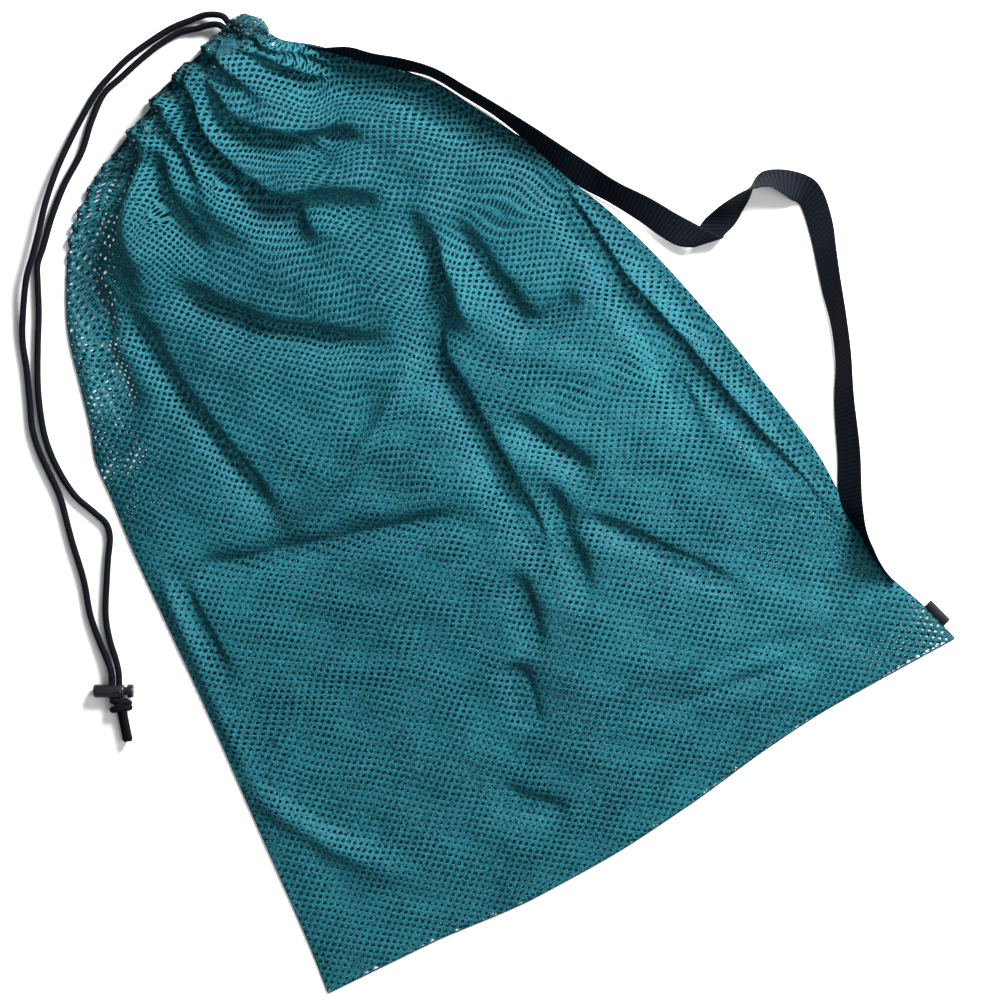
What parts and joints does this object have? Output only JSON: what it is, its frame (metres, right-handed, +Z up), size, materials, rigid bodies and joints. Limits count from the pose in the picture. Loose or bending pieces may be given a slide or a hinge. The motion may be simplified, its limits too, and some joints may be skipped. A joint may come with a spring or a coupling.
{
  "type": "mesh bag",
  "caption": "Empty drawstring bag of see-through knitted mesh lying flat, gathered neck, cord with lock and stopper knot, webbing shoulder strap, bare side label.",
  "frame": {"origin": "on the floor, at the middle of the rectangle that the bag and its strap cover", "axes": "+Y runs up the bag from the bottom edge to the gathered neck, +X to the side that has the strap, +Z up from the floor"},
  "size_m": [0.7492, 0.7955, 0.0343],
  "materials": {
    "mesh": "open knitted polyester mesh, teal, soft sheen",
    "casing": "turned and gathered hem of the same teal mesh",
    "webbing": "ribbed woven webbing, blue-black, dull",
    "cord": "smooth braided cord, blue-black",
    "lock": "moulded plastic, blue-black, half gloss",
    "label": "folded woven tab, black, bare"
  },
  "bodies": {
    "root": {"mesh_body": "mesh", "cord_casing": "casing", "drawcord_left": "cord", "drawcord_right": "cord", "cord_lock_barrel": "lock", "cord_lock_button": "lock", "cord_knot": "cord", "cord_tail_left": "cord", "cord_tail_right": "cord", "shoulder_strap": "webbing", "side_label": "label"}
  },
  "joints": []
}
